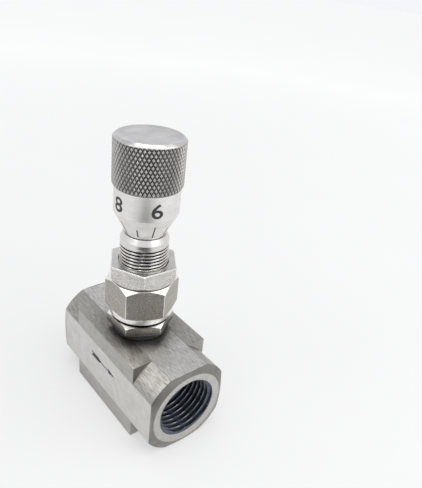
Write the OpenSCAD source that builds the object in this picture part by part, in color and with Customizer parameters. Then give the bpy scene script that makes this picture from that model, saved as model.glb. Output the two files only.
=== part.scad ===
// Needle valve with female pipe ports, a threaded bonnet and a micrometer dial knob.
// Millimetres. Origin at the centre of the body's underside, +Z up the stem,
// X along the flow, outlet port towards +X. Threads are plain cylinders at their fitting diameter.

/* [Body] */
// Length of the body from port face to port face
body_len = 57; // [50:0.5:72]
// Width of the bar across its two side faces
body_w = 27; // [25:0.5:36]
// Height of the bar, underside to top face
body_h = 28; // [26:0.5:36]
// Length of the full square block in the middle
block_len = 35; // [26:0.5:44]
// How far the turned end sections stand over the bar's larger width
turned_over = 3.2; // [1.6:0.1:5]
// Width of the flat ring round each port mouth
rim_w = 1.9; // [1:0.1:2.6]
// Axial length of the shallow chamfer outside that ring
rim_chamfer = 0.9; // [0.4:0.1:1.5]

/* [Ports] */
// Bore of the pipe thread, its minor diameter
port_bore = 18.63; // [14:0.01:19]
// Depth of each port from its face
port_depth = 15.5; // [11:0.5:17]
// Radial width of the chamfer at the port mouth
mouth_chamfer = 1.43; // [0.5:0.01:1.6]

/* [Flow path] */
// Bore of the drillings between the ports and the stem bore
passage_dia = 3.8; // [2:0.1:4]
// Bore through the seat bush
orifice_dia = 3; // [2:0.1:3.6]
// Outside diameter of the seat bush
seat_dia = 8; // [7:0.1:8.6]
// Height of the seat bush
seat_h = 4; // [3:0.1:4.2]
// Diameter of the chamber over the seat
chamber_dia = 9.4; // [9:0.1:10.6]

/* [Bonnet] */
// Thread diameter of the bonnet's lower end
spigot_dia = 14; // [13:0.1:15]
// Width across flats of the bonnet's hexagon
bonnet_af = 20.4; // [18:0.1:24]
// Height of the hexagon with its collar
bonnet_hex_h = 12.5; // [12:0.1:16]
// Height of the round collar under the hexagon
collar_h = 1.9; // [1:0.1:2.6]
// Thread diameter of the barrel
barrel_dia = 15.1; // [14.4:0.1:17]
// Length of the barrel above the hexagon
barrel_len = 15.7; // [14:0.1:20]
// Bore of the barrel
barrel_bore = 10.8; // [10.6:0.1:11.6]
// Turn of the bonnet's hexagon about the stem, in degrees
bonnet_turn = 2.6; // [0:0.1:60]

/* [Nuts and bonnet seal] */
// Width across flats of the jam nut
jam_af = 19; // [17.6:0.1:22]
// Height of the jam nut
jam_h = 4.2; // [3.4:0.1:6]
// Turn of the jam nut about the stem, in degrees
jam_turn = 2.6; // [0:0.1:60]
// Outside diameter of the black seal ring under the jam nut
seal_dia = 18.6; // [16.6:0.1:20]
// Height of that seal ring when it is squeezed
seal_h = 2.4; // [1.6:0.1:3]
// Width across flats of the panel nut
panel_af = 20; // [18:0.1:24]
// Height of the panel nut
panel_h = 6; // [4:0.1:7]
// Turn of the panel nut about the stem, in degrees
panel_turn = 28.1; // [0:0.1:60]

/* [Stem and packing] */
// Diameter of the needle's shank
needle_dia = 5; // [4.4:0.1:5.4]
// Bore that the packing lies in
packing_bore = 9; // [8.4:0.1:9.6]
// Height of one packing ring
packing_t = 1.1; // [0.8:0.1:1.4]
// Number of packing rings
packing_count = 3; // [2:1:4]
// Height of the pair of disc springs that load the packing
disc_pair_h = 1.6; // [1.2:0.1:2.2]
// Height of the gland screw
gland_screw_h = 3.8; // [3:0.1:4.6]
// Diameter of the thrust ball
ball_dia = 4; // [3.6:0.1:4.4]

/* [Spindle] */
// Thread diameter of the drive spindle
spindle_dia = 6.9; // [6.4:0.1:7.4]
// Diameter of the spindle's shank inside the grip
shank_dia = 6; // [5:0.1:6.2]
// Rise of the needle from shut to fully open
travel = 4; // [3:0.1:5]

/* [Knob] */
// Gap between the barrel and the dial when the valve is shut
knob_gap = 0.42; // [0.4:0.02:1.5]
// Diameter of the dial's lower edge
cone_dia = 12.77; // [12:0.01:14]
// Height of the dial's cone
cone_h = 6.96; // [5:0.01:9]
// Diameter of the dial's numbered band
band_dia = 19.66; // [17:0.01:24]
// Height of the numbered band
band_h = 7.66; // [6:0.01:10]
// Diameter of the knurled grip
grip_dia = 20.98; // [18:0.01:25]
// Height of the knurled grip
grip_h = 14.86; // [10:0.01:20]
// Diameter of the grip's hub inside the dial
hub_dia = 10; // [9:0.1:11]

/* [Hidden] */
$fn = 96;

steel = "#b9bab8";
dark_steel = "#8d8f8f";
bright_steel = "#d5d6d4";
black_rubber = "#17181c";
white_ptfe = "#ecebe4";
bronze = "#b58a4c";

eps = 0.01;           // overlap of a cut with the face it passes through
over = 1;             // length of a cut beyond the open end of its hole
running_fit = 0.03;   // radial clearance of a shank that slides or turns in its bore
thread_fit = 0.05;    // radial clearance of a thread that turns in use
slide_fit = 0.06;     // radial clearance of the needle's head in the barrel
loose_fit = 0.15;     // radial clearance of the needle in the springs and the gland screw
seat_gap = 0.05;      // clearance between the shut needle and the edge of its seat
stop_gap = 0.05;      // axial clearance at the end of the travel

// Body levels
port_z = body_h / 2;
turned_r = (max(body_w, body_h) + turned_over) / 2;
port_r = port_bore / 2;
mouth_r = port_r + mouth_chamfer;
rim_r = mouth_r + rim_w;
port_end_x = body_len / 2 - port_depth;
passage_r = passage_dia / 2;

// Flow path levels, counted from the ports' axis
seat_drop = 0.5;           // seat edge under that axis
outlet_rise = 2.3;         // outlet drilling over that axis
gasket_rise = 5;           // bonnet gasket over that axis
seat_top_z = port_z - seat_drop;
seat_seal_h = 0.5;
seat_z = seat_top_z - seat_h;
seal_shelf_z = seat_z - seat_seal_h;
well_ledge = 1;            // ledge that the seat and its seal rest on
well_r = seat_dia / 2 - well_ledge;
well_h = 4;
well_z = seal_shelf_z - well_h;
inlet_z = seal_shelf_z - well_h / 2;
outlet_z = port_z + outlet_rise;
gasket_z = port_z + gasket_rise;
gasket_h = 1;
spigot_z = gasket_z + gasket_h;
spigot_r = spigot_dia / 2;
chamber_r = chamber_dia / 2;

// Stack above the body
jam_z = body_h + seal_h;
jam_gap = 0.37;
collar_z = jam_z + jam_h + jam_gap;
hex_top_z = collar_z + bonnet_hex_h;
barrel_top_z = hex_top_z + barrel_len;
barrel_r = barrel_dia / 2;
bore_r = barrel_bore / 2;

// Corner chamfers of the hexagons: radius left at the end face, then height of the chamfer
jam_low_edge = [jam_af / 2 + 0.9, 0.33];
jam_high_edge = [jam_af / 2 - 1.3, 1.6];
bonnet_low_edge = [bonnet_af / 2 - 0.05, 0.95];
bonnet_high_edge = [bonnet_af / 2 - 0.03, 1.4];
panel_low_edge = [panel_af / 2 - 0.4, 1.9];
panel_high_edge = [panel_af / sqrt(3), 0];

// Packing, from the bottom up
guide_h = 4;
packing_z = spigot_z + guide_h;
packing_r = packing_bore / 2;
washer_h = 1;
chevron = 0.6;             // how far the packing rings are dished
adapter_h = 1.2;
base_ring_z = packing_z + washer_h;
rings_z = base_ring_z + adapter_h;
top_ring_z = rings_z + packing_count * packing_t;
top_ring_trim = 0.4;       // how much thinner the top ring is than its dish would make it
top_ring_h = adapter_h + chevron - top_ring_trim;
gland_bush_z = top_ring_z + top_ring_h;
gland_bush_h = 3;
disc_z = gland_bush_z + gland_bush_h;
gland_screw_z = disc_z + disc_pair_h;
gland_top_z = gland_screw_z + gland_screw_h;
needle_r = needle_dia / 2;
guide_r = needle_r + running_fit;

// Needle, ball and spindle
head_gap = 0.5;            // between the shut needle's head and the gland screw
head_z = gland_top_z + head_gap;
head_h = 8;
head_r = bore_r - slide_fit;
head_top_z = head_z + head_h;
tip_slope = 0.25;          // radius gained per unit of the needle's taper
tip_r = 0.5;
taper_r = 2.2;
edge_r = orifice_dia / 2 - seat_gap;
tip_z = seat_top_z - (edge_r - tip_r) / tip_slope;
taper_top_z = tip_z + (taper_r - tip_r) / tip_slope;
ball_r = ball_dia / 2;
lower_cup_r = ball_r * 0.85;
upper_cup_r = ball_r * 0.75;
cup_depth = 1.2;
tip_step = 0.5;            // height of the step from the taper to the shank
cup_r = 3.6;               // bore in the needle's head that takes the spindle's foot
cup_floor_h = 3.4;         // metal under that bore
clip_h = 0.8;
clip_gap = 2;              // gap in a spring ring
clip_fit = 0.1;            // radial clearance of the clip round the spindle's neck
clip_bite = 0.35;          // how deep the clip sits in the needle's head
foot_gap = 0.05;           // between the spindle's foot and the clip that holds it
foot_h = 1;
foot_fit = 0.25;           // radial clearance of the foot
neck_step = 0.6;           // neck under the foot's radius
neck_h = 1.6;
cup_floor_z = head_z + cup_floor_h;
ball_z = cup_floor_z + sqrt(pow(ball_r, 2) - pow(lower_cup_r, 2));
spindle_z = ball_z + sqrt(pow(ball_r, 2) - pow(upper_cup_r, 2)) + running_fit;
foot_r = cup_r - foot_fit;
foot_top_z = spindle_z + foot_h;
neck_r = foot_r - neck_step;
neck_top_z = foot_top_z + neck_h;
needle_clip_z = foot_top_z + foot_gap;
needle_clip_r = cup_r + clip_bite;
spindle_r = spindle_dia / 2;
nut_bore_r = spindle_r + thread_fit;
shank_r = shank_dia / 2;
guide_pin_r = 1;
guide_pin_gap = 0.1;       // from the pin down to the head of the shut needle's lowest edge
guide_pin_flat = 150;      // from a corner of the hexagon to the middle of the flat with the pin
guide_pin_z = head_z + travel + guide_pin_r + guide_pin_gap;
guide_pin_turn = bonnet_turn + guide_pin_flat;
key_slot_r = 4.4;
key_tip_gap = 0.15;        // between the pin's tip and the bottom of its slot
key_pin_tip_r = key_slot_r + key_tip_gap;
key_pin_depth = 0.4;       // how far the pin's outer end lies under the flat

// Stop ring, drive nut, wiper and retaining ring
stop_land = 0.6;           // plain length of the spindle under the stop ring
stop_groove = 0.5;
stop_clear = 0.7;          // from the stop ring to the wall of the barrel
stop_z = neck_top_z + stop_land;
stop_groove_r = spindle_r - stop_groove;
stop_ring_r = bore_r - stop_clear;
stop_ring_gap = stop_groove_r * 1.6;
drive_nut_z = stop_z + clip_h + travel + stop_gap;
clip_z = barrel_top_z - 2 * clip_h;
clip_groove = 0.45;        // depth of the retaining ring's groove
clip_w = 1.2;              // how far that ring stands into the bore
clip_groove_r = bore_r + clip_groove;
clip_inner_r = bore_r - clip_w;
wiper_h = 0.7;
wiper_z = clip_z - wiper_h;

// Barrel's top edge
rim_drop = 1.7;            // height of the barrel's top chamfer
rim_in = 0.85;             // its radial width
barrel_rim_r = barrel_r - rim_in;

// Knob levels
cone_z = barrel_top_z + knob_gap;
band_z = cone_z + cone_h;
grip_z = band_z + band_h;
knob_top_z = grip_z + grip_h;
band_r = band_dia / 2;
grip_r = grip_dia / 2;
hub_r = hub_dia / 2;
hub_lift = 0.68;           // hub over the dial's lower edge
hub_z = cone_z + hub_lift;
top_edge = 1;              // radial width of the grip's top chamfer
top_edge_h = 0.8;
low_edge = 0.6;            // radial width of the grip's lower rounding
low_edge_h = 1.4;
top_land = 0.4;            // flat ring between that chamfer and the dished top
dish_r = grip_r - top_edge - top_land;
dish_h = 0.35;
shank_reach = 7;           // shank above the grip's lower face
shank_top_z = grip_z + shank_reach;
grip_pin_r = 1;
grip_pin_rise = 3.7;       // cross pin over the hub's lower face
grip_pin_sink = 0.2;       // pin ends under the hub's surface
grip_pin_z = hub_z + grip_pin_rise;
screw_r = 1.5;
screw_sink = 0.3;          // set screws under the dial's surface
screw_z = band_z + band_h / 2;
screw_turns = [92.2, 164.2];

// Flow arrow cut in the side face
arrow_depth = 0.15;
arrow_rise = 2.1;          // arrow over the ports' axis
arrow_z = port_z + arrow_rise;
arrow_tail_x = -8.6;
arrow_notch = 1.6;         // depth of the notch in the tail
arrow_feather = 5;         // length of the wide part of the tail
arrow_flare = 7;           // tail end to the start of the thin shaft
arrow_head_x = 2.9;
arrow_tip_x = 7.2;

// Solid turned about Z from its half outline
module turned(points) {
    rotate_extrude() polygon(points);
}

// Ring between two radii
module ring(outer, inner, z, h) {
    translate([0, 0, z]) difference() {
        cylinder(r = outer, h = h);
        translate([0, 0, -eps]) cylinder(r = inner, h = h + 2 * eps);
    }
}

// Hexagon bar with its corners turned off: low and high are [end radius, height of that chamfer]
module hex_blank(af, z, h, low, high) {
    corner_r = af / sqrt(3);
    intersection() {
        translate([0, 0, z]) cylinder(r = corner_r, h = h, $fn = 6);
        turned([[0, z], [low[0], z], [corner_r, z + low[1]],
                [corner_r, z + h - high[1]], [high[0], z + h], [0, z + h]]);
    }
}

// Ring dished to a chevron, as packing is
module chevron_ring(z, h, low_dish, high_dish) {
    mid_r = (packing_r + guide_r) / 2;
    turned([[guide_r, z], [mid_r, z + low_dish], [packing_r, z],
            [packing_r, z + h], [mid_r, z + h + high_dish], [guide_r, z + h]]);
}

// Port bore with its mouth chamfer, on the side that dir points to
module port_cut(dir) {
    translate([0, 0, port_z]) rotate([0, 90 * dir, 0]) turned([
        [0, port_end_x], [port_r, port_end_x], [port_r, body_len / 2 - mouth_chamfer],
        [mouth_r, body_len / 2], [mouth_r, body_len / 2 + over], [0, body_len / 2 + over]]);
}

// Drilling from the bottom of a port to the stem's axis
module passage_cut(dir, z) {
    translate([0, 0, z]) rotate([0, 90 * dir, 0]) cylinder(r = passage_r, h = port_end_x + eps);
}

// Stepped bore for the seat, the chamber and the bonnet
module stem_bore_cut() {
    turned([[0, well_z], [well_r, well_z], [well_r, seal_shelf_z], [seat_dia / 2, seal_shelf_z],
            [seat_dia / 2, seat_top_z], [chamber_r, seat_top_z], [chamber_r, gasket_z],
            [spigot_r, gasket_z], [spigot_r, body_h + over], [0, body_h + over]]);
}

module arrow_cut() {
    tail_w = 0.9;
    shaft_w = 0.25;
    head_w = 0.85;
    translate([0, -body_w / 2 + arrow_depth, arrow_z]) rotate([90, 0, 0])
        linear_extrude(height = arrow_depth + over)
            polygon([[arrow_tail_x, tail_w], [arrow_tail_x + arrow_notch, 0], [arrow_tail_x, -tail_w],
                     [arrow_tail_x + arrow_feather, -tail_w], [arrow_tail_x + arrow_flare, -shaft_w],
                     [arrow_head_x, -shaft_w], [arrow_head_x, -head_w], [arrow_tip_x, 0],
                     [arrow_head_x, head_w], [arrow_head_x, shaft_w],
                     [arrow_tail_x + arrow_flare, shaft_w], [arrow_tail_x + arrow_feather, tail_w]]);
}

module valve_body() color(steel) difference() {
    union() {
        translate([-block_len / 2, -body_w / 2, 0]) cube([block_len, body_w, body_h]);
        intersection() {
            translate([-body_len / 2, -body_w / 2, 0]) cube([body_len, body_w, body_h]);
            translate([0, 0, port_z]) rotate([0, 90, 0]) turned([
                [0, -body_len / 2], [rim_r, -body_len / 2], [turned_r, -body_len / 2 + rim_chamfer],
                [turned_r, body_len / 2 - rim_chamfer], [rim_r, body_len / 2], [0, body_len / 2]]);
        }
    }
    port_cut(1);
    port_cut(-1);
    passage_cut(-1, inlet_z);
    passage_cut(1, outlet_z);
    stem_bore_cut();
    arrow_cut();
}

module seat_seal() color(white_ptfe) ring(seat_dia / 2, well_r, seal_shelf_z, seat_seal_h);

module seat_bush() color(bright_steel) ring(seat_dia / 2, orifice_dia / 2, seat_z, seat_h);

module bonnet_gasket() color(white_ptfe) ring(spigot_r, chamber_r, gasket_z, gasket_h);

module bonnet_seal() color(black_rubber) {
    seal_r = seal_dia / 2;
    bulge = 0.7;
    turned([[spigot_r, body_h], [seal_r - bulge, body_h], [seal_r, body_h + bulge],
            [seal_r, jam_z - bulge], [seal_r - bulge, jam_z], [spigot_r, jam_z]]);
}

module jam_nut() color(dark_steel) rotate([0, 0, jam_turn]) difference() {
    hex_blank(jam_af, jam_z, jam_h, jam_low_edge, jam_high_edge);
    translate([0, 0, jam_z - eps]) cylinder(r = spigot_r, h = jam_h + 2 * eps);
}

module bonnet() color(steel) difference() {
    union() {
        translate([0, 0, spigot_z]) cylinder(r = spigot_r, h = collar_z - spigot_z + eps);
        translate([0, 0, collar_z]) cylinder(r = bonnet_af / 2, h = collar_h + eps);
        rotate([0, 0, bonnet_turn])
            hex_blank(bonnet_af, collar_z + collar_h, bonnet_hex_h - collar_h,
                      bonnet_low_edge, bonnet_high_edge);
        turned([[0, hex_top_z - eps], [barrel_r, hex_top_z - eps], [barrel_r, barrel_top_z - rim_drop],
                [barrel_rim_r, barrel_top_z], [0, barrel_top_z]]);
    }
    turned([[0, spigot_z - eps], [guide_r, spigot_z - eps], [guide_r, packing_z], [packing_r, packing_z],
            [packing_r, gland_top_z], [bore_r, gland_top_z], [bore_r, clip_z], [clip_groove_r, clip_z],
            [clip_groove_r, clip_z + clip_h], [bore_r, clip_z + clip_h], [bore_r, barrel_top_z + over],
            [0, barrel_top_z + over]]);
    rotate([0, 0, guide_pin_turn]) translate([0, 0, guide_pin_z]) rotate([0, 90, 0])
        cylinder(r = guide_pin_r, h = bonnet_af);
}

module packing_washer() color(bright_steel) ring(packing_r, guide_r, packing_z, washer_h);

module packing_base_ring() color(white_ptfe) chevron_ring(base_ring_z, adapter_h, 0, chevron);

module packing_rings() color(white_ptfe) {
    for (i = [0 : packing_count - 1])
        chevron_ring(rings_z + i * packing_t, packing_t, chevron, chevron);
}

module packing_top_ring() color(white_ptfe) chevron_ring(top_ring_z, top_ring_h, chevron, 0);

module gland_bush() color(bronze) ring(packing_r, guide_r, gland_bush_z, gland_bush_h);

// Two dished spring washers, rim to rim
module disc_springs() color(dark_steel) {
    metal_share = 0.3;
    disc_t = disc_pair_h * metal_share;
    inner = needle_r + loose_fit;
    outer = packing_r;
    mid_z = disc_z + disc_pair_h / 2;
    turned([[inner, disc_z], [outer, mid_z - disc_t], [outer, mid_z], [inner, disc_z + disc_t]]);
    turned([[inner, gland_screw_z - disc_t], [outer, mid_z], [outer, mid_z + disc_t],
            [inner, gland_screw_z]]);
}

module gland_screw() color(bright_steel) {
    slot_w = 1.4;
    slot_h = 1.2;
    difference() {
        ring(packing_r, needle_r + loose_fit, gland_screw_z, gland_screw_h);
        translate([-packing_r - over, -slot_w / 2, gland_top_z - slot_h])
            cube([2 * (packing_r + over), slot_w, slot_h + over]);
    }
}

module guide_pin() color(dark_steel)
    rotate([0, 0, guide_pin_turn]) translate([key_pin_tip_r, 0, guide_pin_z]) rotate([0, 90, 0])
        cylinder(r = guide_pin_r, h = bonnet_af / 2 - key_pin_depth - key_pin_tip_r);

module drive_nut() color(bronze) ring(bore_r, nut_bore_r, drive_nut_z, wiper_z - drive_nut_z);

module wiper_ring() color(black_rubber) ring(bore_r, nut_bore_r, wiper_z, wiper_h);

module retaining_ring() color(dark_steel) open_ring(clip_groove_r, clip_inner_r, clip_z, clip_gap);

module panel_nut() color(steel) rotate([0, 0, panel_turn]) difference() {
    entry = 0.42;
    top_z = hex_top_z + panel_h;
    hex_blank(panel_af, hex_top_z, panel_h, panel_low_edge, panel_high_edge);
    turned([[0, hex_top_z - eps], [barrel_r, hex_top_z - eps], [barrel_r, top_z - entry],
            [barrel_r + entry, top_z], [barrel_r + entry, top_z + over], [0, top_z + over]]);
}

module needle() color(bright_steel) difference() {
    turned([[0, tip_z], [tip_r, tip_z], [taper_r, taper_top_z], [needle_r, taper_top_z + tip_step],
            [needle_r, head_z], [head_r, head_z], [head_r, head_top_z], [cup_r, head_top_z],
            [cup_r, needle_clip_z + clip_h], [needle_clip_r, needle_clip_z + clip_h],
            [needle_clip_r, needle_clip_z], [cup_r, needle_clip_z], [cup_r, cup_floor_z],
            [lower_cup_r, cup_floor_z], [lower_cup_r, cup_floor_z - cup_depth],
            [0, cup_floor_z - cup_depth]]);
    rotate([0, 0, guide_pin_turn])
        translate([key_slot_r, -guide_pin_r - running_fit, head_z - eps])
            cube([head_r, 2 * (guide_pin_r + running_fit), head_h + 2 * eps]);
}

// Spring ring with a gap cut to one side
module open_ring(outer, inner, z, gap) {
    difference() {
        ring(outer, inner, z, clip_h);
        translate([0, -gap / 2, z - eps]) cube([outer + over, gap, clip_h + 2 * eps]);
    }
}

module needle_clip() color(dark_steel) open_ring(needle_clip_r, neck_r + clip_fit, needle_clip_z, clip_gap);

module thrust_ball() color(bright_steel) translate([0, 0, ball_z]) sphere(r = ball_r);

module spindle() color(bright_steel) difference() {
    turned([[0, spindle_z + cup_depth], [upper_cup_r, spindle_z + cup_depth], [upper_cup_r, spindle_z],
            [foot_r, spindle_z], [foot_r, foot_top_z], [neck_r, foot_top_z], [neck_r, neck_top_z],
            [spindle_r, neck_top_z], [spindle_r, stop_z], [stop_groove_r, stop_z],
            [stop_groove_r, stop_z + clip_h], [spindle_r, stop_z + clip_h], [spindle_r, hub_z],
            [shank_r, hub_z], [shank_r, shank_top_z], [0, shank_top_z]]);
    translate([-hub_r, 0, grip_pin_z]) rotate([0, 90, 0]) cylinder(r = grip_pin_r, h = 2 * hub_r);
}

module stop_ring() color(dark_steel) open_ring(stop_ring_r, stop_groove_r, stop_z, stop_ring_gap);

// Radial set screw with its hexagon socket
module set_screw(reach) {
    socket_r = 0.87;
    socket_depth = 1.6;
    difference() {
        cylinder(r = screw_r, h = reach);
        translate([0, 0, reach - socket_depth]) cylinder(r = socket_r, h = socket_depth + over, $fn = 6);
    }
}

module dial_screws() color(dark_steel) {
    for (a = screw_turns)
        rotate([0, 0, a]) translate([hub_r, 0, screw_z]) rotate([0, 90, 0])
            set_screw(band_r - hub_r - screw_sink);
}

module dial_sleeve() color(bright_steel) difference() {
    turned([[hub_r, cone_z], [cone_dia / 2, cone_z], [band_r, band_z], [band_r, grip_z],
            [hub_r, grip_z]]);
    for (a = screw_turns)
        rotate([0, 0, a]) translate([hub_r - over, 0, screw_z]) rotate([0, 90, 0])
            cylinder(r = screw_r, h = band_r);
}

module grip() color(dark_steel) difference() {
    turned([[0, hub_z], [hub_r, hub_z], [hub_r, grip_z], [grip_r - low_edge, grip_z],
            [grip_r, grip_z + low_edge_h], [grip_r, knob_top_z - top_edge_h],
            [grip_r - top_edge, knob_top_z], [dish_r, knob_top_z], [0, knob_top_z - dish_h]]);
    translate([0, 0, hub_z - eps]) cylinder(r = shank_r, h = shank_top_z - hub_z + eps);
    translate([-hub_r, 0, grip_pin_z]) rotate([0, 90, 0]) cylinder(r = grip_pin_r, h = 2 * hub_r);
}

module grip_pin() color(bright_steel)
    translate([-hub_r + grip_pin_sink, 0, grip_pin_z]) rotate([0, 90, 0])
        cylinder(r = grip_pin_r, h = 2 * (hub_r - grip_pin_sink));

valve_body();
seat_seal();
seat_bush();
bonnet_gasket();
bonnet_seal();
jam_nut();
bonnet();
packing_washer();
packing_base_ring();
packing_rings();
packing_top_ring();
gland_bush();
disc_springs();
gland_screw();
guide_pin();
drive_nut();
wiper_ring();
retaining_ring();
panel_nut();
needle();
needle_clip();
thrust_ball();
spindle();
stop_ring();
dial_sleeve();
dial_screws();
grip();
grip_pin();
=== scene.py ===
import math

import bmesh
import bpy
import numpy as np
from mathutils import Euler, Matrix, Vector


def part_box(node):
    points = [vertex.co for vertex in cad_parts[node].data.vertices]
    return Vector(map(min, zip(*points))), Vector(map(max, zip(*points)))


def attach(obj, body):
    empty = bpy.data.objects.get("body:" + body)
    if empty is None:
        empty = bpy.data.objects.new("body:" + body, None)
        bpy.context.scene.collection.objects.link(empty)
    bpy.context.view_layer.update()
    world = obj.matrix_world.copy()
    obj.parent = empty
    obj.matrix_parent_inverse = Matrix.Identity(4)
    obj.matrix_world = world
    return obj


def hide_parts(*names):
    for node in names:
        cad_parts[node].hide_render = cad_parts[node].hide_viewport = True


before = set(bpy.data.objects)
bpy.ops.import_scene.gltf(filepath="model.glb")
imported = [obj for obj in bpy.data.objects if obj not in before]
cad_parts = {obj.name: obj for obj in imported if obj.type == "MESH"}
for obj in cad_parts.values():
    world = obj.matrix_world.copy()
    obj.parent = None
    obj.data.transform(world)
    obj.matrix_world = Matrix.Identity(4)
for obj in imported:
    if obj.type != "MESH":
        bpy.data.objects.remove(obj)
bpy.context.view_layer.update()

MM = 0.001
AROUND = 128          # steps round a turned piece
EASE = 0.12           # usual edge break
EASE_STEPS = 3


# ---------------------------------------------------------------- sizes

def levels(node):
    """Lowest and highest corner of a CAD node, in millimetres."""
    low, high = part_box(node)
    return np.array(low) / MM, np.array(high) / MM


_, body_high = levels("valve_body")
seal_low, seal_high = levels("bonnet_seal")
jam_low, jam_high = levels("jam_nut")
bonnet_low, bonnet_high = levels("bonnet")
panel_low, panel_high = levels("panel_nut")
dial_low, dial_high = levels("dial_sleeve")
grip_low, grip_high = levels("grip")
spindle_low, spindle_high = levels("spindle")
stop_low, stop_high = levels("stop_ring")
clip_low, clip_high = levels("retaining_ring")
_, gland_high = levels("gland_screw")
guide_low, guide_high = levels("guide_pin")

body_len = 2 * body_high[0]
body_w = 2 * body_high[1]
body_h = body_high[2]
port_z = body_h / 2
block_len = 35              # square middle part, between the turned ends
turned_r = 15.6             # turned ends
port_r = 9.315              # crests of the port's thread
port_thread_r = 10.478      # its roots
port_pitch = 1.814
port_depth = 15.5
mouth_r = 10.745            # wide end of the port's chamfered mouth
rim_r = 12.645              # flat rim round the mouth
rim_chamfer = 0.9
outlet_z = port_z + 2.3
inlet_z = 7
passage_r = 1.9

spigot_r = 7                # bonnet's screwed lower end
bonnet_corner_r = 20.4 / math.sqrt(3)
jam_corner_r = 19 / math.sqrt(3)
panel_corner_r = 20 / math.sqrt(3)
collar_r = 10.2
hex_turn = math.radians(2.6)        # where a corner of the bonnet and jam nut points
panel_turn = math.radians(28.1)     # and one of the panel nut
hex_chamfer_r, hex_chamfer_h = 10.17, 1.4
hex_top_z = panel_low[2]
collar_z = jam_high[2] + 0.37
barrel_r = 7.55
barrel_pitch = 1.1
barrel_top_z = bonnet_high[2]
barrel_bore_r = 5.4
barrel_thread_depth = 0.55
rim_in, rim_drop = 0.85, 1.7        # chamfer at the barrel's top

cone_r = 6.385
band_r = dial_high[0]
band_z = dial_low[2] + 6.96
hub_r = 5
grip_r = grip_high[0]
grip_z = dial_high[2]
knob_top_z = grip_high[2]
mark_depth = 0.12           # how deep the marks are cut
paint_gap = 0.03            # how far their paint lies below the surface


# ---------------------------------------------------------------- mesh code

def eased(points, ease=EASE):
    """Closed (radius, height) outline with its corners broken; a third number is that corner's own ease."""
    out = []
    for i, point in enumerate(points):
        here = np.array(point[:2], float)
        before = np.array(points[i - 1][:2], float) - here
        after = np.array(points[(i + 1) % len(points)][:2], float) - here
        spans = np.linalg.norm(before), np.linalg.norm(after)
        reach = min(point[2] if len(point) > 2 else ease, 0.4 * spans[0], 0.4 * spans[1])
        if here[0] == 0 or reach <= 0:
            out.append(here)
            continue
        start = here + before / spans[0] * reach
        end = here + after / spans[1] * reach
        for t in np.linspace(0, 1, EASE_STEPS + 1):
            out.append((1 - t) ** 2 * start + 2 * t * (1 - t) * here + t * t * end)
    return out


def row(radius, height, around=AROUND):
    """Ring of points round Z; radius is one number or one for each step. No radius gives the centre point."""
    if np.isscalar(radius) and radius <= 1e-6:
        return np.array([[0.0, 0.0, height]])
    turn = np.arange(around) * 2 * math.pi / around
    radius = np.broadcast_to(radius, around)
    return np.stack([radius * np.cos(turn), radius * np.sin(turn), np.full(around, float(height))], 1)


def skin(name, rows):
    """Piece whose surface runs from each row of points to the next, and from the last to the first."""
    verts, rings, faces = [], [], []
    for points in rows:
        rings.append(range(len(verts), len(verts) + len(points)))
        verts.extend(points)
    for low, high in zip(rings, rings[1:] + rings[:1]):
        steps = max(len(low), len(high))
        if steps == 1:
            continue
        for k in range(steps):
            n = (k + 1) % steps
            corners = [low[k % len(low)], low[n % len(low)], high[n % len(high)], high[k % len(high)]]
            faces.append(list(dict.fromkeys(corners)))
    return solid(name, verts, faces)


def solid(name, verts, faces):
    """Piece from corner points in millimetres, with its faces turned outwards."""
    mesh = bpy.data.meshes.new(name)
    mesh.from_pydata([tuple(np.array(v, float) * MM) for v in verts], [], faces)
    work = bmesh.new()
    work.from_mesh(mesh)
    bmesh.ops.recalc_face_normals(work, faces=work.faces)
    work.to_mesh(mesh)
    work.free()
    made = bpy.data.objects.new(name, mesh)
    bpy.context.scene.collection.objects.link(made)
    return made


def turned(name, outline, ease=EASE, around=AROUND):
    """Piece turned about Z from its closed half outline."""
    return skin(name, [row(r, z, around) for r, z in eased(outline, ease)])


def prism(name, outline, low, high):
    """Straight bar on a flat outline in X and Y."""
    count = len(outline)
    verts = [(x, y, z) for z in (low, high) for x, y in outline]
    sides = [[k, (k + 1) % count, (k + 1) % count + count, k + count] for k in range(count)]
    return solid(name, verts, sides + [list(range(count)), list(range(count, 2 * count))])


def block(name, low, high):
    """Square-edged bar between two corners."""
    return prism(name, [(low[0], low[1]), (high[0], low[1]), (high[0], high[1]), (low[0], high[1])],
                 low[2], high[2])


def place(piece, turn=(0, 0, 0), move=(0, 0, 0)):
    """Turns and moves a piece's mesh, angles in degrees and distances in millimetres."""
    matrix = Euler([math.radians(a) for a in turn]).to_matrix().to_4x4()
    matrix.translation = Vector(move) * MM
    piece.data.transform(matrix)
    return piece


def settle(piece):
    """Turns a piece's modifiers into its mesh."""
    graph = bpy.context.evaluated_depsgraph_get()
    mesh = bpy.data.meshes.new_from_object(piece.evaluated_get(graph))
    piece.modifiers.clear()
    piece.data = mesh
    return piece


def combine(piece, how, *tools):
    """Joins, cuts or keeps what is shared: how is UNION, DIFFERENCE or INTERSECT. The tools are used up."""
    for tool in tools:
        step = piece.modifiers.new(how.lower(), "BOOLEAN")
        step.operation, step.solver, step.object = how, "MANIFOLD", tool
        settle(piece)
        bpy.data.objects.remove(tool)
    return piece


def tidy(piece, angle=0.5):
    """Joins flat faces that boolean cuts left in pieces."""
    work = bmesh.new()
    work.from_mesh(piece.data)
    bmesh.ops.remove_doubles(work, verts=work.verts, dist=1e-7)
    bmesh.ops.dissolve_limit(work, angle_limit=math.radians(angle), verts=work.verts, edges=work.edges)
    work.to_mesh(piece.data)
    work.free()
    return piece


def bevelled(piece, width=EASE, angle=20, segments=2):
    """Breaks the edges that are sharper than an angle."""
    step = piece.modifiers.new("edge_break", "BEVEL")
    step.width, step.segments = width * MM, segments
    step.limit_method, step.angle_limit = "ANGLE", math.radians(angle)
    step.use_clamp_overlap = True
    return settle(piece)


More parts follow.
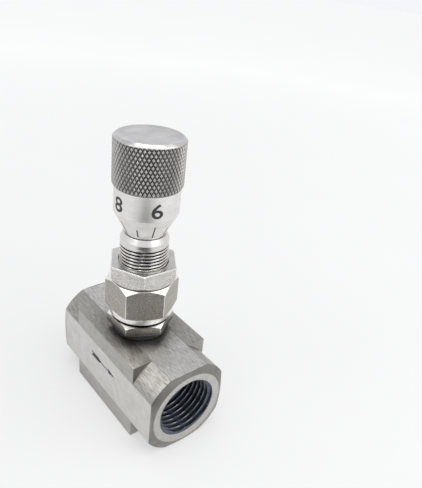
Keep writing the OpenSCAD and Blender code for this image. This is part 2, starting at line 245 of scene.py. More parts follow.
def finished(piece, material, body, slot, *nodes, sharp=32, also=()):
    """Gives a piece its material, shading and body, and hides the CAD nodes it stands for.
    The slot is not used. Each further material goes on the faces that pass its test of middle, in
    millimetres, and normal."""
    piece.data.materials.clear()
    for choice in [material] + [other for other, test in also]:
        piece.data.materials.append(choice)
    for face in piece.data.polygons:
        passed = [k + 1 for k, (other, test) in enumerate(also) if test(face.center / MM, face.normal)]
        face.material_index = passed[0] if passed else 0
    piece.data.shade_smooth()
    piece.data.set_sharp_from_angle(angle=math.radians(sharp))
    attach(piece, body)
    if nodes:
        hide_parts(*nodes)
    return piece


# ---------------------------------------------------------------- materials

def colour(code):
    """sRGB hex to the linear numbers that a shader takes."""
    parts = [int(code[i:i + 2], 16) / 255 for i in (1, 3, 5)]
    return tuple(c / 12.92 if c <= 0.04045 else ((c + 0.055) / 1.055) ** 2.4 for c in parts) + (1.0,)


def add(tree, kind, inputs=None, **settings):
    """Adds a node with its settings; inputs are numbers or links, by socket name or number."""
    made = tree.nodes.new(kind)
    for name, value in settings.items():
        setattr(made, name, value)
    for socket, value in (inputs or {}).items():
        if isinstance(value, bpy.types.NodeSocket):
            tree.links.new(value, made.inputs[socket])
        else:
            made.inputs[socket].default_value = value
    return made


def own_mm(tree):
    """Each piece's own place in millimetres."""
    place = add(tree, "ShaderNodeTexCoord").outputs["Object"]
    return add(tree, "ShaderNodeVectorMath", {0: place, "Scale": 1000.0}, operation="SCALE").outputs[0]


def new_material(name):
    """Empty material, its tree and its shader."""
    material = bpy.data.materials.new(name)
    material.use_nodes = True
    tree = material.node_tree
    tree.nodes.clear()
    shader = add(tree, "ShaderNodeBsdfPrincipled")
    add(tree, "ShaderNodeOutputMaterial", {"Surface": shader.outputs[0]})
    return material, tree, shader


def steel(name, light, dark, smooth, rough, cloud_mm, cloudy, grain_mm, lathe, bump, speck=0.0):
    """Bare stainless steel. Clouds of slightly different tone and gloss come from the mill skin and handling,
    and the fine grain follows the cut: rings about Z on a turned face, lines along X on a linished one."""
    material, tree, shader = new_material(name)
    place_mm = own_mm(tree)
    cloud = add(tree, "ShaderNodeTexNoise", {"Vector": place_mm, "Scale": 1 / cloud_mm, "Detail": 4.0,
                                             "Roughness": 0.6}).outputs[0]
    if lathe:
        apart = add(tree, "ShaderNodeSeparateXYZ", {0: place_mm})
        flat = add(tree, "ShaderNodeCombineXYZ", {0: apart.outputs[0], 1: apart.outputs[1]})
        radius = add(tree, "ShaderNodeVectorMath", {0: flat.outputs[0]}, operation="LENGTH").outputs["Value"]
        way = add(tree, "ShaderNodeCombineXYZ", {0: radius, 2: apart.outputs[2]}).outputs[0]
    else:
        way = add(tree, "ShaderNodeVectorMath", {0: place_mm, 1: (0.08, 1.0, 1.0)},
                  operation="MULTIPLY").outputs[0]
    grain = add(tree, "ShaderNodeTexNoise", {"Vector": way, "Scale": 1 / grain_mm, "Detail": 3.0,
                                             "Roughness": 0.7}).outputs[0]
    fine = add(tree, "ShaderNodeTexNoise", {"Vector": place_mm, "Scale": 3.2, "Detail": 2.0}).outputs[0]
    tone = add(tree, "ShaderNodeMath", {0: cloud, 1: cloudy}, operation="MULTIPLY").outputs[0]
    tone = add(tree, "ShaderNodeMath", {0: grain, 1: 1 - cloudy, 2: tone},
               operation="MULTIPLY_ADD").outputs[0]
    tone = add(tree, "ShaderNodeMath", {0: fine, 1: speck, 2: tone}, operation="MULTIPLY_ADD").outputs[0]
    tone = add(tree, "ShaderNodeMapRange", {0: tone, 1: 0.34 + speck / 2, 2: 0.66 + speck / 2}).outputs[0]
    shade = add(tree, "ShaderNodeMix", {0: tone, 6: colour(dark), 7: colour(light)}, data_type="RGBA")
    gloss = add(tree, "ShaderNodeMapRange", {0: tone, 1: 0.0, 2: 1.0, 3: rough, 4: smooth}).outputs[0]
    relief = add(tree, "ShaderNodeMath", {0: grain, 1: fine}, operation="ADD").outputs[0]
    dent = add(tree, "ShaderNodeBump", {"Strength": bump, "Distance": 0.00005, "Height": relief}).outputs[0]
    tree.links.new(shade.outputs[2], shader.inputs["Base Color"])
    tree.links.new(gloss, shader.inputs["Roughness"])
    tree.links.new(dent, shader.inputs["Normal"])
    shader.inputs["Metallic"].default_value = 1.0
    return material


def stained(material, mask, tint):
    """Multiplies a material's colour by a tint where the mask is 1: for marks and grain, and for painted
    shade.
    """
    tree = material.node_tree
    base = tree.nodes["Principled BSDF"].inputs["Base Color"]
    mixed = add(tree, "ShaderNodeMix", {0: mask, 6: base.links[0].from_socket, 7: colour(tint)},
                data_type="RGBA", blend_type="MULTIPLY")
    tree.links.new(mixed.outputs[2], base)


def from_axis(tree, centre, along):
    """Position along an axis and distance from it, in millimetres, with the axis through a centre point."""
    spot = add(tree, "ShaderNodeVectorMath", {0: own_mm(tree), 1: centre}, operation="SUBTRACT").outputs[0]
    forward = add(tree, "ShaderNodeVectorMath", {0: spot, 1: along}, operation="DOT_PRODUCT").outputs["Value"]
    inward = add(tree, "ShaderNodeVectorMath", {0: spot, 1: along}, operation="CROSS_PRODUCT").outputs[0]
    return forward, add(tree, "ShaderNodeVectorMath", {0: inward}, operation="LENGTH").outputs["Value"]


def ramp(tree, value, low, high):
    """0 below low to 1 above high; low may be the larger one."""
    share = add(tree, "ShaderNodeMapRange", {0: value, 1: low, 2: high}, interpolation_type="SMOOTHSTEP")
    return share.outputs[0]


def product(tree, *masks):
    """Masks multiplied together."""
    whole = masks[0]
    for mask in masks[1:]:
        whole = add(tree, "ShaderNodeMath", {0: whole, 1: mask}, operation="MULTIPLY").outputs[0]
    return whole


def plain(name, light, dark, metallic, smooth, rough, cloud_mm, grain_mm, bump):
    """Inner and small pieces: two close tones in soft clouds, with a fine surface grain."""
    material, tree, shader = new_material(name)
    place_mm = own_mm(tree)
    cloud = add(tree, "ShaderNodeTexNoise", {"Vector": place_mm, "Scale": 1 / cloud_mm,
                                             "Detail": 3.0}).outputs[0]
    grain = add(tree, "ShaderNodeTexNoise", {"Vector": place_mm, "Scale": 1 / grain_mm,
                                             "Detail": 2.0}).outputs[0]
    shade = add(tree, "ShaderNodeMix", {0: cloud, 6: colour(dark), 7: colour(light)}, data_type="RGBA")
    gloss = add(tree, "ShaderNodeMapRange", {0: grain, 1: 0.3, 2: 0.7, 3: rough, 4: smooth}).outputs[0]
    dent = add(tree, "ShaderNodeBump", {"Strength": bump, "Distance": 0.00005, "Height": grain}).outputs[0]
    tree.links.new(shade.outputs[2], shader.inputs["Base Color"])
    tree.links.new(gloss, shader.inputs["Roughness"])
    tree.links.new(dent, shader.inputs["Normal"])
    shader.inputs["Metallic"].default_value = metallic
    return material


# Square bar rubbed on a belt: satin, with fine lines along the ports.
linished_bar = steel("linished_stainless_bar", "#dad9d6", "#c2c0bc", 0.27, 0.40, 3.2, 0.45, 0.12, False, 0.30)
# Hexagon bar as drawn: a warm, speckled grey skin.
drawn_hex = steel("drawn_stainless_hex", "#cbc6bf", "#a5a099", 0.28, 0.40, 1.0, 0.3, 0.10, True, 0.30,
                  speck=0.5)
# Hexagon nut turned and tumbled: paler, with the same fine speckle.
turned_hex = steel("turned_stainless_hex", "#efedea", "#d4d1cc", 0.26, 0.38, 1.0, 0.3, 0.10, True, 0.30,
                   speck=0.5)
# Chamfers, collar and broken edges, cut last: the brightest metal on the valve.
turned_edge = steel("chamfered_stainless", "#f3f2f0", "#e0deda", 0.20, 0.30, 2.0, 0.4, 0.10, True, 0.10)
# Screw-cut barrel: clean crests that shine in rings.
turned_barrel = steel("screwcut_stainless", "#e6e4e1", "#cfccc8", 0.20, 0.30, 2.0, 0.4, 0.10, True, 0.06)
# Fine-turned dial: an even, silky white metal that lets its marks be read.
turned_dial = steel("fine_turned_stainless", "#eae9e7", "#d6d4d1", 0.38, 0.48, 3.0, 0.4, 0.16, True, 0.15)
# Rolled knurl: painted darker than the other steel, as shade for its small faces that look every way.
knurled_grip = steel("rolled_knurl_stainless", "#bebcb9", "#999794", 0.28, 0.40, 2.4, 0.4, 0.16, True, 0.10)
# Faced ends of the grip and panel nut: broad soft clouds that mirror what stands on them.
faced_metal = steel("faced_stainless", "#d6d5d3", "#b4b2b0", 0.20, 0.32, 9.0, 0.75, 0.16, True, 0.16)
# Screw-cut port: a cool, dull wall, painted darker than the outside as shade inside the port.
thread_bore = steel("screwcut_bore_stainless", "#a9abb0", "#8e9197", 0.32, 0.44, 2.0, 0.4, 0.10, False, 0.06)

tree = linished_bar.node_tree
along_z, from_stem = from_axis(tree, (0, 0, 0), (0, 0, 1))
along_flow, from_flow = from_axis(tree, (0, 0, port_z), (1, 0, 0))
shade_mottle_per_mm, strokes_per_mm, pits_per_mm = 0.26, 6.5, 3.6
# Noise that breaks the painted shade below into patches.
shade_mottle = add(tree, "ShaderNodeTexNoise", {"Scale": shade_mottle_per_mm / MM, "Detail": 5.0,
                                        "Roughness": 0.65}).outputs[0]
# Painted shade on top, round the stem, in mottled patches: the top darkens near the bonnet that stands on it.
shade_round_stem = product(tree, ramp(tree, along_z, body_h - 0.6, body_h - 0.1), ramp(tree, from_stem, 17, 9.5),
                  ramp(tree, shade_mottle, 0.25, 0.6))
stained(linished_bar, shade_round_stem, "#c8c6c3")
# Painted shade on the outer band of each port face: its chamfer is darkened in mottled patches.
end_face = add(tree, "ShaderNodeMath", {0: along_flow}, operation="ABSOLUTE").outputs[0]
rim_band_shade = product(tree, ramp(tree, end_face, body_len / 2 - 0.95, body_len / 2 - 0.85),
               ramp(tree, from_flow, rim_r - 0.05, rim_r + 0.1), ramp(tree, shade_mottle, 0.15, 0.5))
stained(linished_bar, rim_band_shade, "#b0afad")
# Belt strokes along the ports, drawn a little coarser than real so that they show; none on the sides.
half_w_m = body_w / 2 * MM
spot = add(tree, "ShaderNodeTexCoord").outputs["Object"]
strokes = add(tree, "ShaderNodeVectorMath", {0: spot, 1: (0.06, 1.0, 1.0)}, operation="MULTIPLY").outputs[0]
strokes = add(tree, "ShaderNodeTexNoise", {"Vector": strokes, "Scale": strokes_per_mm / MM,
                                           "Detail": 4.0}).outputs[0]
across = add(tree, "ShaderNodeMath", {0: add(tree, "ShaderNodeSeparateXYZ", {0: spot}).outputs[1]},
             operation="ABSOLUTE").outputs[0]
strokes = product(tree, ramp(tree, strokes, 0.42, 0.62), ramp(tree, across, half_w_m, half_w_m - 0.0003))
stained(linished_bar, strokes, "#c6c4c1")
# The turned ends' round and the block's corners are a shade darker.
stained(linished_bar, ramp(tree, from_flow, turned_r - 0.1, turned_r - 0.04), "#d6d4d1")

# Fine pits in the skin of the hexagons.
for hex_steel in (drawn_hex, turned_hex):
    tree = hex_steel.node_tree
    pits = add(tree, "ShaderNodeTexNoise", {"Vector": add(tree, "ShaderNodeTexCoord").outputs["Object"],
                                            "Scale": pits_per_mm / MM, "Detail": 3.0,
                                            "Roughness": 0.7}).outputs[0]
    stained(hex_steel, ramp(tree, pits, 0.42, 0.62), "#b8b5b1")
# Painted shade under the collar's overhang, with dirt in the joint, and a jam nut that darkens towards the
# seal.
for hex_steel in (drawn_hex, turned_edge):
    tree = hex_steel.node_tree
    along_z, from_stem = from_axis(tree, (0, 0, 0), (0, 0, 1))
    joint_dirt_and_shade = product(tree, ramp(tree, from_stem, 9.9, 9.5),
                    ramp(tree, along_z, jam_high[2] - 1.4, jam_high[2] - 0.8),
                    ramp(tree, along_z, collar_z + 0.12, collar_z + 0.06))
    stained(hex_steel, joint_dirt_and_shade, "#3c3c3e")
    stained(hex_steel, ramp(tree, along_z, jam_high[2] - 1.4, jam_low[2]), "#a4a3a2")

# Painted shade in the thread grooves, on the barrel and in the ports: below the crests the colour is darker,
# so the crests show as light lines.
tree = turned_barrel.node_tree
along_z, from_stem = from_axis(tree, (0, 0, 0), (0, 0, 1))
root_shade = product(tree, ramp(tree, from_stem, barrel_r - 0.04, barrel_r - 0.22),
                ramp(tree, along_z, barrel_top_z - 2.4, barrel_top_z - 2.6))
stained(turned_barrel, root_shade, "#6c6c70")
tree = thread_bore.node_tree
_, from_flow = from_axis(tree, (0, 0, port_z), (1, 0, 0))
stained(thread_bore, ramp(tree, from_flow, port_r + 0.01, port_r + 0.12), "#9aa0ac")

# Inner pieces: ground steel bright, spring steel oil-black, bronze warm, rubber near black, PTFE milky.
ground_steel = plain("ground_stainless", "#d2d1ce", "#b3b2af", 1.0, 0.16, 0.26, 2.5, 0.2, 0.1)
spring_steel = plain("oil_black_spring_steel", "#6a6966", "#3e3d3c", 1.0, 0.30, 0.46, 1.5, 0.15, 0.2)
bearing_bronze = plain("turned_bearing_bronze", "#c39a5c", "#9a723a", 1.0, 0.22, 0.36, 2.0, 0.15, 0.15)
seal_rubber = plain("moulded_nitrile_rubber", "#15171e", "#0b0c10", 0.0, 0.46, 0.6, 1.2, 0.12, 0.25)
ptfe = plain("moulded_ptfe", "#efede6", "#dcdad2", 0.0, 0.42, 0.58, 2.0, 0.2, 0.1)
# Paint baked into the cut marks: a flat soft black.
mark_paint = plain("baked_black_marking", "#3a3a3c", "#232326", 0.0, 0.45, 0.65, 0.8, 0.1, 0.15)


# ---------------------------------------------------------------- body

def along_x(piece, side=1):
    """Lays a piece turned about Z along the ports, its top towards +X or -X."""
    return place(place(piece, turn=(0, 90 * side, 0)), move=(0, 0, port_z))


def port_cutter(name, side):
    """Screw-cut port with its chamfered mouth, as the metal taken away."""
    face = body_len / 2
    heights = np.arange(face - port_depth, face + 0.7, port_pitch / 12)
    turn = np.arange(AROUND) / AROUND
    rows = [row(0, heights[0])]
    for height in heights:
        across = np.abs(2 * ((height / port_pitch - turn) % 1) - 1)
        thread = port_r + (port_thread_r - port_r) * np.clip((across - 0.14) / 0.72, 0, 1)
        bottom = height < face - port_depth + 0.9
        funnel = mouth_r + 2.4 * (height - face)
        lip = mouth_r + 0.1 + 3 * (height - face)
        rows.append(row(np.maximum(port_r if bottom else thread, max(funnel, lip)), height))
    rows.append(row(0, heights[-1]))
    return along_x(skin(name, rows), side)


def arrow(low, high):
    """Flow arrow as a straight bar that stands out of the side face."""
    tail_x, head_x, tip_x = -8.6, 2.9, 7.2
    outline = [(tail_x, 0.9), (tail_x + 1.6, 0), (tail_x, -0.9), (tail_x + 5, -0.9), (tail_x + 7, -0.25),
               (head_x, -0.25), (head_x, -0.85), (tip_x, 0), (head_x, 0.85), (head_x, 0.25),
               (tail_x + 7, 0.25), (tail_x + 5, 0.9)]
    bar = prism("arrow_bar", outline, low, high)
    return place(place(bar, turn=(90, 0, 0)), move=(0, 0, port_z + 2.1))


half_l, half_w = body_len / 2, body_w / 2
bar_body = block("valve_body_bar", (-half_l, -half_w, 0), (half_l, half_w, body_h))
shoulders = block("shoulders", (-block_len / 2, -20, -5), (block_len / 2, 20, body_h + 5))
ends = along_x(turned("ends", [(0, -half_l), (rim_r, -half_l), (turned_r, rim_chamfer - half_l),
                               (turned_r, half_l - rim_chamfer), (rim_r, half_l), (0, half_l)],
                      ease=0, around=192))
combine(shoulders, "UNION", ends)
combine(bar_body, "INTERSECT", shoulders)
tidy(bar_body)
bevelled(bar_body, width=0.22, angle=12)
stem_bore = turned("stem_bore", [(0, 5), (3, 5), (3, 9), (4, 9), (4, 13.5), (4.7, 13.5), (4.7, 19),
                                 (spigot_r, 19), (spigot_r, body_h + 1), (0, body_h + 1)], ease=0)
outlet_hole = along_x(turned("outlet_hole", [(0, 0), (passage_r, 0), (passage_r, 14), (0, 14)], ease=0))
inlet_hole = along_x(turned("inlet_hole", [(0, 0), (passage_r, 0), (passage_r, 14), (0, 14)], ease=0), -1)
place(outlet_hole, move=(0, 0, outlet_z - port_z))
place(inlet_hole, move=(0, 0, inlet_z - port_z))
combine(bar_body, "DIFFERENCE", port_cutter("outlet_cut", 1), port_cutter("inlet_cut", -1), stem_bore,
        outlet_hole, inlet_hole, arrow(half_w - mark_depth, half_w + 1))


def in_port(spot, normal):
    """True for the screw-cut wall of a port."""
    return (math.hypot(spot.y, spot.z - port_z) < port_thread_r + 0.02
            and body_len / 2 - port_depth - 0.1 < abs(spot.x) < body_len / 2 - 0.3)


finished(bar_body, linished_bar, "valve", "body_steel", "valve_body", also=[(thread_bore, in_port)])
flow_arrow = tidy(arrow(half_w - mark_depth, half_w - paint_gap))
flow_arrow.name = "flow_arrow_fill"
finished(flow_arrow, mark_paint, "valve", "body_steel")


# ---------------------------------------------------------------- bonnet, nuts and seal

def hexagon(name, corner_r, low, high, turn):
    """Hexagon bar with one corner at the given turn."""
    turns = [turn + k * math.pi / 3 for k in range(6)]
    return prism(name, [(corner_r * math.cos(t), corner_r * math.sin(t)) for t in turns], low, high)


def is_edge(turn, low_collar=False):
    """Test for the turned chamfers and broken edges of a hexagon with a corner at the given turn.
    The bonnet's round collar counts too when it is asked for."""
    def test(spot, normal):
        off_flat = (math.atan2(normal.y, normal.x) - turn) % (math.pi / 3) - math.pi / 6
        on_collar = spot.z < collar_z + 1.95 and math.hypot(spot.x, spot.y) > 8 and low_collar
        return 0.2 < abs(normal.z) < 0.98 or abs(normal.z) <= 0.2 and abs(off_flat) > 0.2 or on_collar
    return test


def screw_rows(low, high, pitch, crest_r, depth, limit, share=lambda z: 1, crest=0.12):
    """Rows of a right-hand screw thread about Z, kept inside a limit radius for each height.
    The share of its depth that is cut may fade with height."""
    turn = np.arange(AROUND) / AROUND
    rows = []
    for height in np.linspace(low, high, int((high - low) / pitch * 12) + 1):
        across = np.abs(2 * ((height / pitch - turn) % 1) - 1)
        thread = crest_r - share(height) * depth * np.clip((across - crest) / (0.88 - crest), 0, 1)
        rows.append(row(np.minimum(thread, limit(height)), height))
    return rows


seal_outer, seal_bulge = seal_high[0], 1.0
seal_ring = turned("bonnet_seal_ring", [
    (spigot_r, seal_low[2], 0.3), (seal_outer, seal_low[2], seal_bulge),
    (seal_outer, seal_high[2], seal_bulge), (spigot_r, seal_high[2], 0.3)])
finished(seal_ring, seal_rubber, "valve", "black_rubber", "bonnet_seal", sharp=60)

jam_z, jam_top = jam_low[2], jam_high[2]
jam_body = bevelled(hexagon("jam_nut_hex", jam_corner_r, jam_z, jam_top, hex_turn), width=0.14)
combine(jam_body, "INTERSECT", turned("jam_limit", [
    (0, jam_z), (10.4, jam_z), (jam_corner_r + 0.05, jam_z + 0.36), (jam_corner_r + 0.05, jam_top - 1.6),
    (8.2, jam_top), (0, jam_top)], ease=0, around=192))
tidy(jam_body)
combine(jam_body, "DIFFERENCE", turned("jam_hole", [(0, jam_z - 1), (spigot_r + 0.02, jam_z - 1),
                                                   (spigot_r + 0.02, jam_top + 1), (0, jam_top + 1)], ease=0))
finished(jam_body, drawn_hex, "valve", "stem_steel", "jam_nut", sharp=15,
         also=[(turned_edge, is_edge(hex_turn))])

bonnet_body = bevelled(hexagon("bonnet_hex_and_barrel", bonnet_corner_r, collar_z + 1.9, hex_top_z, hex_turn),
                       width=0.16)
combine(bonnet_body, "INTERSECT", turned("bonnet_limit", [
    (0, collar_z + 1.9), (collar_r - 0.05, collar_z + 1.9), (bonnet_corner_r + 0.05, collar_z + 2.85),
    (bonnet_corner_r + 0.05, hex_top_z - hex_chamfer_h), (hex_chamfer_r, hex_top_z), (0, hex_top_z)],
    ease=0, around=192))
tidy(bonnet_body)
collar = turned("collar", [(0, bonnet_low[2]), (spigot_r, bonnet_low[2], 0.4), (spigot_r, collar_z),
                           (collar_r, collar_z, 0.2), (collar_r, collar_z + 2.1, 0), (0, collar_z + 2.1)])
barrel_rim_r = barrel_r - rim_in
barrel_rows = screw_rows(hex_top_z - 0.4, barrel_top_z, barrel_pitch, barrel_r, barrel_thread_depth,
                         lambda z: barrel_rim_r + rim_in * min((barrel_top_z - z) / rim_drop, 1),
                         lambda z: min(max((barrel_top_z - 2.9 - z) / 1.0, 0), 1), crest=0.42)
barrel = skin("barrel", [row(0, hex_top_z - 0.4)] + barrel_rows + [row(0, barrel_top_z)])
combine(bonnet_body, "UNION", collar, barrel)
needle_bore_r, packing_r = 2.53, 4.5
gland_top = gland_high[2]
bonnet_bore = turned("bonnet_bore", [
    (0, 19), (needle_bore_r, 19), (needle_bore_r, bonnet_low[2] + 4), (packing_r, bonnet_low[2] + 4),
    (packing_r, gland_top), (barrel_bore_r, gland_top), (barrel_bore_r, clip_low[2]),
    (clip_high[1], clip_low[2]), (clip_high[1], clip_high[2]), (barrel_bore_r, clip_high[2]),
    (barrel_bore_r, barrel_top_z + 1), (0, barrel_top_z + 1)], ease=0)
guide_z = (guide_low[2] + guide_high[2]) / 2
guide_hole = place(turned("guide_hole", [(0, 3), (1, 3), (1, 14), (0, 14)], ease=0), turn=(0, 90, 0))
place(place(guide_hole, turn=(0, 0, 152.6)), move=(0, 0, guide_z))
combine(bonnet_body, "DIFFERENCE", bonnet_bore, guide_hole)
finished(bonnet_body, drawn_hex, "valve", "stem_steel", "bonnet", sharp=15, also=[
    (turned_barrel, lambda spot, normal: spot.z > hex_top_z + 0.5), (turned_edge, is_edge(hex_turn, True))])

panel_z, panel_top = panel_low[2], panel_high[2]
panel_body = bevelled(hexagon("panel_nut_hex", panel_corner_r, panel_z, panel_top, panel_turn), width=0.30)
combine(panel_body, "INTERSECT", turned("panel_limit", [
    (0, panel_z), (9.6, panel_z), (panel_corner_r + 0.05, panel_z + 1.95),
    (panel_corner_r + 0.05, panel_top), (0, panel_top)], ease=0, around=192))
tidy(panel_body)
combine(panel_body, "DIFFERENCE", turned("panel_hole", [
    (0, panel_z - 1), (barrel_r + 0.02, panel_z - 1), (barrel_r + 0.02, panel_top - 0.42),
    (barrel_r + 0.44, panel_top + 0.001), (barrel_r + 0.44, panel_top + 1), (0, panel_top + 1)], ease=0))
finished(panel_body, turned_hex, "valve", "stem_steel", "panel_nut", sharp=15, also=[
    (turned_edge, is_edge(panel_turn)), (faced_metal, lambda spot, normal: normal.z > 0.98)])


# ---------------------------------------------------------------- dial

def dial_outline(inset):
    """Half outline of the dial, with its outside drawn in by a small amount."""
    low, high = dial_low[2], dial_high[2]
    inner = hub_r if inset == 0 else 2
    ends = 0 if inset == 0 else 1
    foot = [(inner, low - 0.3), (cone_r - 0.15, low - 0.3, 0.05), (cone_r - 0.05, low + 0.05, 0)]
    if inset:
        foot = [(inner, low - 1), (cone_r - inset - 0.48, low - 1)]
    return foot + [(band_r - inset, band_z, 0.1), (band_r - inset, high + ends, 0.1 * (inset == 0)),
                   (inner, high + ends)]


def numeral(text, azimuth):
    """One cast of a numeral as a straight bar that points out of the dial."""
    high, wide = 4.6, 5.5
    curve = bpy.data.curves.new("numeral", "FONT")
    curve.body = text
    curve.extrude = 1.0
    curve.offset = 0.017
    curve.resolution_u = 5
    shape = bpy.data.objects.new("numeral", curve)
    bpy.context.scene.collection.objects.link(shape)
    mesh = bpy.data.meshes.new_from_object(shape.evaluated_get(bpy.context.evaluated_depsgraph_get()))
    bpy.data.objects.remove(shape)
    made = bpy.data.objects.new("numeral_" + text, mesh)
    bpy.context.scene.collection.objects.link(made)
    work = bmesh.new()
    work.from_mesh(mesh)
    bmesh.ops.remove_doubles(work, verts=work.verts, dist=1e-5)
    spots = np.array([v.co for v in work.verts])
    low, top = spots.min(0), spots.max(0)
    size = high / (top[1] - low[1])
    across = wide / high * 1.02 * size
    for v in work.verts:
        v.co = Vector(((v.co.x - (low[0] + top[0]) / 2) * across * MM,
                       (v.co.y - (low[1] + top[1]) / 2) * size * MM, v.co.z * 3 * MM))
    bmesh.ops.recalc_face_normals(work, faces=work.faces)
    work.to_mesh(mesh)
    work.free()
    place(made, turn=(90, 0, 90))
    return place(place(made, move=(band_r, 0, numeral_z)), turn=(0, 0, azimuth))


def tick(azimuth, low, high):
    """One dial line, as a straight bar that points out of the cone."""
    half = 0.19
    return place(block("tick", (4, -half, low), (12, half, high)), turn=(0, 0, azimuth))


numeral_z = dial_low[2] + 10.4
first_turn, step_turn = -15.8, 36.0
marks = []
for count in range(10):
    value = (6 - count) % 10
    azimuth = first_turn + count * step_turn
    top = dial_low[2] + (4.9 if value % 2 == 0 else 3.5)
    marks.append(tick(azimuth, dial_low[2] + 0.45, top))
    if value % 2 == 0:
        marks.append(numeral(str(value), azimuth))
mark_bars = combine(marks[0], "UNION", *marks[1:])
mark_bars.name = "mark_bars"

core = turned("core", dial_outline(mark_depth), around=256)
combine(mark_bars, "DIFFERENCE", core)
fill = mark_bars.copy()
fill.data = mark_bars.data.copy()
bpy.context.scene.collection.objects.link(fill)
combine(fill, "INTERSECT", turned("paint_limit", dial_outline(paint_gap), around=256))
fill.name = "dial_mark_fill"
finished(fill, mark_paint, "knob", "knob_steel")

dial = turned("dial_engraved", dial_outline(0), around=256)
combine(dial, "DIFFERENCE", mark_bars)
for azimuth in (92.2, 164.2):
    hole = place(turned("hole", [(0, 3), (1.5, 3), (1.5, 12), (0, 12)], ease=0), turn=(0, 90, 0))
    combine(dial, "DIFFERENCE", place(place(hole, turn=(0, 0, azimuth)), move=(0, 0, (band_z + grip_z) / 2)))
finished(dial, turned_dial, "knob", "knob_steel", "dial_sleeve")


# ---------------------------------------------------------------- grip

knurl_starts = 52
knurl_rise = 2 * math.pi * grip_r / knurl_starts / math.tan(math.radians(30))


def knurl_rows(low, high):
    """Rows of a diamond knurl: two families of V grooves at 30 degrees to the axis.
    They run out into the grip's edges."""
    cuts, depth, land = 10, 0.46, 0.16
    around = knurl_starts * cuts
    rise = knurl_rise
    turn = np.arange(around) / cuts
    rows = []
    steps = int(round((high - low) / rise * cuts))
    for k in range(steps + 1):
        height = low + (high - low) * k / steps
        one = np.abs((turn + height / rise) % 1 - 0.5) * 2
        two = np.abs((turn - height / rise) % 1 - 0.5) * 2
        cut = np.maximum(np.clip((one - land) / (1 - land), 0, 1), np.clip((two - land) / (1 - land), 0, 1))
        from_low, from_top = height - low, high - height
        low_edge = grip_r - 0.6 * max(1 - from_low / 1.4, 0) ** 2
        top_edge = grip_r - 1.0 + from_top * 1.25
        deep = depth * min(max((from_top - 0.8) / 0.5, 0), 1)
        rows.append(row(np.minimum(grip_r - deep * cut, min(low_edge, top_edge)), height, around))
    return rows


def grip_rows():
    """Rows of the whole grip: hub, underside, knurl, chamfer and dished top."""
    shank_r = 3.0
    hub_z, socket_z = grip_low[2], spindle_high[2]
    wall = knurl_rows(grip_z, knob_top_z)
    around = len(wall[0])
    rows = [row(0, socket_z), row(shank_r, socket_z, around), row(shank_r, hub_z, around),
            row(hub_r, hub_z, around), row(hub_r, grip_z, around)] + wall
    dish_r, dish_h = grip_r - 1.35, 0.3
    rows.append(row(dish_r, knob_top_z, around))
    for share in np.linspace(0.985, 0.02, 14):
        rows.append(row(dish_r * share, knob_top_z - dish_h * (1 - share ** 6), around))
    rows.append(row(0, knob_top_z - dish_h - 0.12))
    return rows


# Painted shade in the knurl's grooves: their bottoms are darkened, up to just under the top chamfer.
tree = knurled_grip.node_tree
along_z, _ = from_axis(tree, (0, 0, 0), (0, 0, 1))
apart = add(tree, "ShaderNodeSeparateXYZ", {0: add(tree, "ShaderNodeTexCoord").outputs["Object"]})
turns = add(tree, "ShaderNodeMath", {0: apart.outputs[1], 1: apart.outputs[0]},
            operation="ARCTAN2").outputs[0]
turns = add(tree, "ShaderNodeMath", {0: turns, 1: knurl_starts / (2 * math.pi)},
            operation="MULTIPLY").outputs[0]
climb = add(tree, "ShaderNodeMath", {0: along_z, 1: knurl_rise}, operation="DIVIDE").outputs[0]
cuts = []
for way in ("ADD", "SUBTRACT"):
    slant = add(tree, "ShaderNodeMath", {0: turns, 1: climb}, operation=way).outputs[0]
    cuts.append(add(tree, "ShaderNodeMath", {0: slant, 1: 0.5}, operation="PINGPONG").outputs[0])
groove = add(tree, "ShaderNodeMath", {0: cuts[0], 1: cuts[1]}, operation="MINIMUM").outputs[0]
knurl_groove_shade = product(tree, ramp(tree, groove, 0.20, 0.04),
                  ramp(tree, along_z, knob_top_z - 0.8, knob_top_z - 1.2))
stained(knurled_grip, knurl_groove_shade, "#7a7978")
grip = skin("grip_knurled", grip_rows())
finished(grip, knurled_grip, "knob", "knob_steel", "grip", sharp=26, also=[(
    faced_metal,
    lambda spot, normal: spot.z > knob_top_z - 0.78 and math.hypot(spot.x, spot.y) < grip_r - 0.15)])


# ---------------------------------------------------------------- spindle and inner pieces

drive_r, drive_pitch = spindle_high[0], 0.5
foot_z, neck_z = spindle_low[2] + 1, spindle_low[2] + 2.6
stop_r = drive_r - 0.5
rows = [row(0, spindle_low[2] + 1.2), row(1.5, spindle_low[2] + 1.2), row(1.5, spindle_low[2]),
        row(3.35, spindle_low[2]), row(3.35, foot_z), row(2.75, foot_z), row(2.75, neck_z),
        row(drive_r, neck_z), row(drive_r, stop_low[2]), row(stop_r, stop_low[2]), row(stop_r, stop_high[2])]
rows += screw_rows(stop_high[2], grip_low[2], drive_pitch, drive_r, 0.27, lambda z: drive_r)
rows += [row(3.0, grip_low[2]), row(3.0, spindle_high[2]), row(0, spindle_high[2])]
spindle = skin("spindle_screw", rows)
finished(spindle, ground_steel, "knob", "inner_steel", "spindle")

finishes = {
    ground_steel: ("seat_bush", "needle", "packing_washer", "gland_screw", "thrust_ball", "grip_pin"),
    spring_steel: ("disc_springs", "guide_pin", "retaining_ring", "needle_clip", "stop_ring", "dial_screws"),
    bearing_bronze: ("gland_bush", "drive_nut"),
    seal_rubber: ("wiper_ring",),
    ptfe: ("seat_seal", "bonnet_gasket", "packing_base_ring", "packing_rings", "packing_top_ring"),
}
for material, names in finishes.items():
    for name in names:
        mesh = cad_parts[name].data
        mesh.materials.clear()
        mesh.materials.append(material)


# ---------------------------------------------------------------- floor, light and camera

front_turn = -34.4          # the way that the camera looks from
front = math.radians(front_turn)
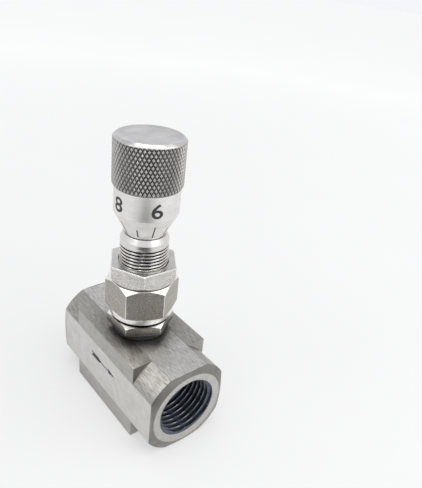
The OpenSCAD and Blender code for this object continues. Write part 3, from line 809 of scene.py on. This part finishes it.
# Pale paper sweep that gives off a little light. In front of the valve, outside the main view, a dark
# soft-edged patch is painted on it, so that the metal mirrors something dark between the bright sides.
material, tree, shader = new_material("lit_white_sweep")
paper = add(tree, "ShaderNodeTexNoise", {"Scale": 40.0, "Detail": 3.0}).outputs[0]
paper_tone = add(tree, "ShaderNodeMix", {0: paper, 6: colour("#909090"), 7: colour("#989898")},
                 data_type="RGBA")
spot = add(tree, "ShaderNodeTexCoord").outputs["Object"]
ahead = add(tree, "ShaderNodeVectorMath", {0: spot, 1: (math.cos(front), math.sin(front), 0)},
            operation="DOT_PRODUCT").outputs["Value"]
aside = add(tree, "ShaderNodeVectorMath", {0: spot, 1: (-math.sin(front), math.cos(front), 0)},
            operation="DOT_PRODUCT").outputs["Value"]
aside = add(tree, "ShaderNodeMath", {0: aside}, operation="ABSOLUTE").outputs[0]
dark_patch = product(tree, ramp(tree, ahead, 0.05, 0.10), ramp(tree, aside, 0.075, 0.045))
tree.links.new(add(tree, "ShaderNodeMix", {0: dark_patch, 6: paper_tone.outputs[2], 7: colour("#303030")},
                   data_type="RGBA").outputs[2], shader.inputs["Base Color"])
away = add(tree, "ShaderNodeVectorMath", {0: spot}, operation="LENGTH").outputs["Value"]
glow = add(tree, "ShaderNodeMapRange", {0: away, 1: 0.08, 2: 0.7, 3: 0.51, 4: 0.71}).outputs[0]
glow = add(tree, "ShaderNodeMapRange", {0: dark_patch, 1: 0.0, 2: 1.0, 3: glow, 4: 0.02}).outputs[0]
tree.links.new(glow, shader.inputs["Emission Strength"])
shader.inputs["Roughness"].default_value = 0.8
shader.inputs["Specular IOR Level"].default_value = 0.0
shader.inputs["Emission Color"].default_value = colour("#ffffff")
floor = block("floor", (-4000, -4000, -20), (4000, 4000, 0))
floor.data.materials.append(material)


def softbox(name, azimuth, elevation, distance, width, height, radiance):
    """Studio light that looks at the middle of the valve; its brightness is the same whatever its size."""
    light = bpy.data.lights.new(name, "AREA")
    light.shape, light.size, light.size_y = "RECTANGLE", width, height
    light.energy = radiance * math.pi * width * height
    lamp = bpy.data.objects.new(name, light)
    bpy.context.scene.collection.objects.link(lamp)
    a, e = math.radians(azimuth), math.radians(elevation)
    away = Vector((math.cos(a) * math.cos(e), math.sin(a) * math.cos(e), math.sin(e)))
    lamp.location = Vector((0, 0, 0.045)) + away * distance
    lamp.rotation_euler = away.to_track_quat("Z", "Y").to_euler()
    return lamp


softbox("softbox_left", front_turn - 56, 44, 0.55, 0.40, 0.40, 1.3)
softbox("softbox_right", front_turn + 66, 42, 0.55, 0.60, 0.46, 1.5)
softbox("softbox_top", front_turn, 88, 0.60, 0.44, 0.34, 3.2)

world = bpy.data.worlds.new("studio")
world.use_nodes = True
tree = world.node_tree
sky = tree.nodes["Background"]
way = add(tree, "ShaderNodeTexCoord").outputs["Generated"]
height = add(tree, "ShaderNodeSeparateXYZ", {0: way}).outputs[2]
strength = add(tree, "ShaderNodeMapRange", {0: height, 1: 0.45, 2: 0.9, 3: 0.95, 4: 0.65}).outputs[0]
tree.links.new(strength, sky.inputs["Strength"])
sky.inputs["Color"].default_value = colour("#fafbff")
bpy.context.scene.world = world
bpy.context.scene.view_settings.view_transform = "Standard"

camera = bpy.data.cameras.new("camera")
camera.sensor_fit, camera.sensor_width, camera.lens = "HORIZONTAL", 36.0, 43.88
camera.clip_start = 0.005
eye = bpy.data.objects.new("camera", camera)
eye.location = (0.1154, -0.0791, 0.1349)
eye.rotation_euler = [math.radians(a) for a in (61.847, -6.282, 50.591)]
bpy.context.scene.collection.objects.link(eye)
bpy.context.scene.camera = eye
